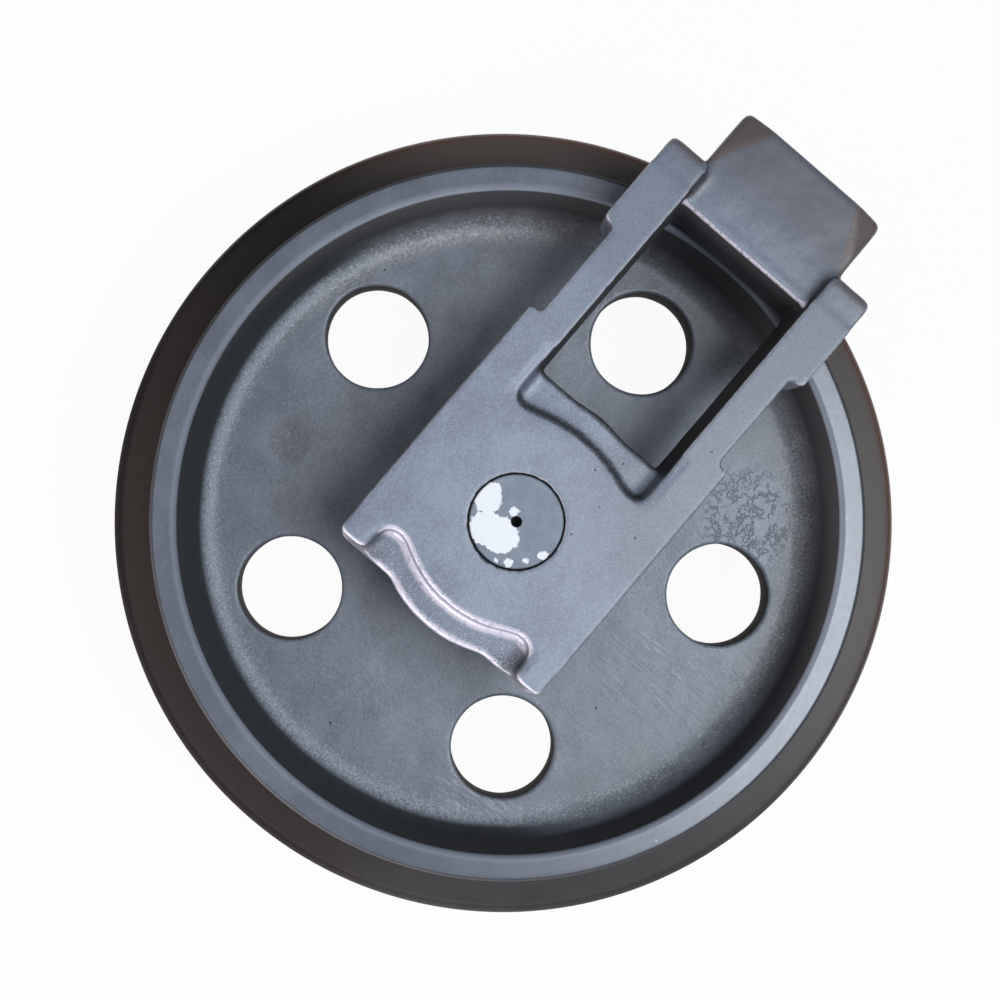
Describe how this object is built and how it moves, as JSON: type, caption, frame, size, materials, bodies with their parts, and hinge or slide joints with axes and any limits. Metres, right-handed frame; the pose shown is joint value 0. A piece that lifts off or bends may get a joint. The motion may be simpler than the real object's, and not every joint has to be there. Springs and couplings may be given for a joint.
{
  "type": "excavator front idler",
  "caption": "Front idler for a crawler excavator: flanged track wheel with a pierced web, turning on a sealed axle held by forked guide brackets that bolt to the recoil yoke.",
  "frame": {"origin": "on the axle's axis at the middle of the wheel", "axes": "+Z along the axle, away from the face that the idler lies on; +X along the fork arms towards the yoke and recoil spring; +Y across the fork"},
  "size_m": [0.6044, 0.571, 0.272],
  "materials": {
    "wheel_casting": "dark blue-grey paint over a rough forging, semi-gloss on the rim, dull in the web",
    "bracket_casting": "blue-grey semi-gloss paint over cast steel with fine grain",
    "axle_steel": "turned steel, ends painted grey with white flakes left on the upper end",
    "bush_bronze": "bored bronze",
    "seal_iron": "ground and lapped",
    "seal_rubber": "matt black",
    "plain_steel": "bright steel",
    "copper_washer": "dull copper"
  },
  "bodies": {
    "carrier": {"axle_shaft": "axle_steel", "bracket_upper": "bracket_casting", "bracket_lower": "bracket_casting", "bracket_seal_ring_upper": "seal_iron", "bracket_seal_ring_lower": "seal_iron", "bracket_toric_ring_upper": "seal_rubber", "bracket_toric_ring_lower": "seal_rubber", "axle_o_ring_upper": "seal_rubber", "axle_o_ring_lower": "seal_rubber", "lock_pin_upper": "plain_steel", "lock_pin_lower": "plain_steel", "oil_plug": "plain_steel", "oil_plug_washer": "copper_washer"},
    "wheel": {"idler_wheel": "wheel_casting", "bush_upper": "bush_bronze", "bush_lower": "bush_bronze", "hub_seal_ring_upper": "seal_iron", "hub_seal_ring_lower": "seal_iron", "hub_toric_ring_upper": "seal_rubber", "hub_toric_ring_lower": "seal_rubber"}
  },
  "joints": [
    {"name": "wheel_spin", "type": "hinge", "parent": "carrier", "child": "wheel", "pos_m": [0, 0, 0], "axis": [0, 0, 1], "continuous": true}
  ]
}
